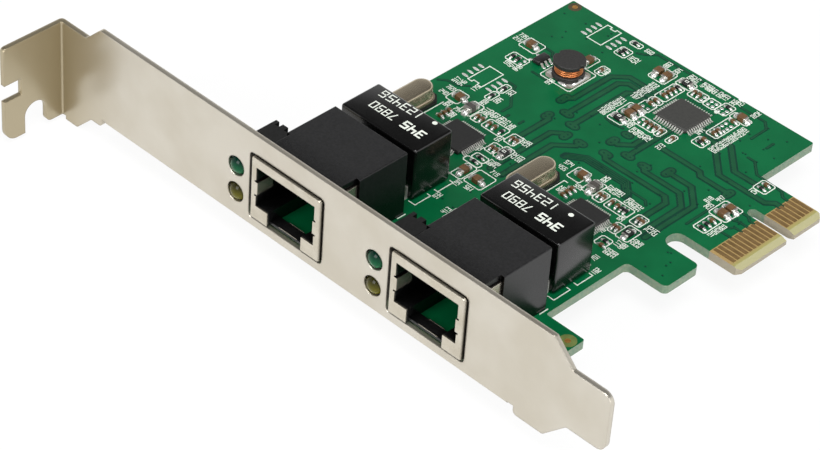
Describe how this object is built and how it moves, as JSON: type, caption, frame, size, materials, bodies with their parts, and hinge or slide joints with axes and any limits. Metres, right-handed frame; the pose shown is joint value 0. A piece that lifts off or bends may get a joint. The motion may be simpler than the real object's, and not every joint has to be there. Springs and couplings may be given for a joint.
{
  "type": "network interface card",
  "caption": "Network interface card: green circuit board with a slot-side card edge, full-height steel bracket, network ports with lights, transformers, chips and small parts.",
  "frame": {"origin": "middle of the key slot on the insertion edge, at the component side of the board", "axes": "+X the way the card goes into its slot, along the bracket; +Y away from the bracket, towards the far edge of the board; +Z out of the component side"},
  "size_m": [0.1197, 0.0933, 0.0225],
  "materials": {
    "solder_mask": "glossy green solder mask over fibreglass laminate",
    "gold_plate": "gold-plated copper",
    "nickel_steel": "satin nickel-plated steel sheet",
    "screw_steel": "nickel-plated screws",
    "jack_plastic": "black moulded plastic",
    "shield_plate": "tin-plated sheet",
    "holder_plastic": "black moulded plastic",
    "green_lens": "tinted clear epoxy",
    "yellow_lens": "tinted clear epoxy",
    "tinned_lead": "tinned leads",
    "case_epoxy": "black moulded epoxy",
    "chip_epoxy": "black moulded epoxy",
    "crystal_nickel": "drawn nickel-plated can",
    "base_plastic": "black plastic",
    "ferrite": "fired ferrite",
    "copper_wire": "enamelled copper wire",
    "capacitor_ceramic": "fired brown ceramic",
    "resistor_ceramic": "black glaze on ceramic",
    "end_solder": "tinned end caps"
  },
  "bodies": {
    "root": {"bracket": "nickel_steel", "bracket_screws": "screw_steel", "circuit_board": "solder_mask", "controller_1_body": "chip_epoxy", "controller_1_leads": "tinned_lead", "controller_2_body": "chip_epoxy", "controller_2_leads": "tinned_lead", "crystal_1_base": "base_plastic", "crystal_1_can": "crystal_nickel", "crystal_1_leads": "tinned_lead", "crystal_2_base": "base_plastic", "crystal_2_can": "crystal_nickel", "crystal_2_leads": "tinned_lead", "edge_contacts": "gold_plate", "ferrite_bead_bodies": "ferrite", "ferrite_bead_ends": "end_solder", "green_led_1": "green_lens", "green_led_2": "green_lens", "inductor_core": "ferrite", "inductor_terminals": "end_solder", "inductor_winding": "copper_wire", "large_capacitor_bodies": "capacitor_ceramic", "large_capacitor_ends": "end_solder", "large_resistor_bodies": "resistor_ceramic", "large_resistor_ends": "end_solder", "led_holder_1": "holder_plastic", "led_holder_2": "holder_plastic", "led_leads_1": "tinned_lead", "led_leads_2": "tinned_lead", "port_1_contacts": "gold_plate", "port_1_housing": "jack_plastic", "port_1_shield": "shield_plate", "port_2_contacts": "gold_plate", "port_2_housing": "jack_plastic", "port_2_shield": "shield_plate", "regulator_body": "chip_epoxy", "regulator_leads": "tinned_lead", "small_capacitor_bodies": "capacitor_ceramic", "small_capacitor_ends": "end_solder", "small_resistor_bodies": "resistor_ceramic", "small_resistor_ends": "end_solder", "switch_chip_body": "chip_epoxy", "switch_chip_leads": "tinned_lead", "transformer_1_case": "case_epoxy", "transformer_1_pins": "tinned_lead", "transformer_2_case": "case_epoxy", "transformer_2_pins": "tinned_lead", "yellow_led_1": "yellow_lens", "yellow_led_2": "yellow_lens"}
  },
  "joints": []
}
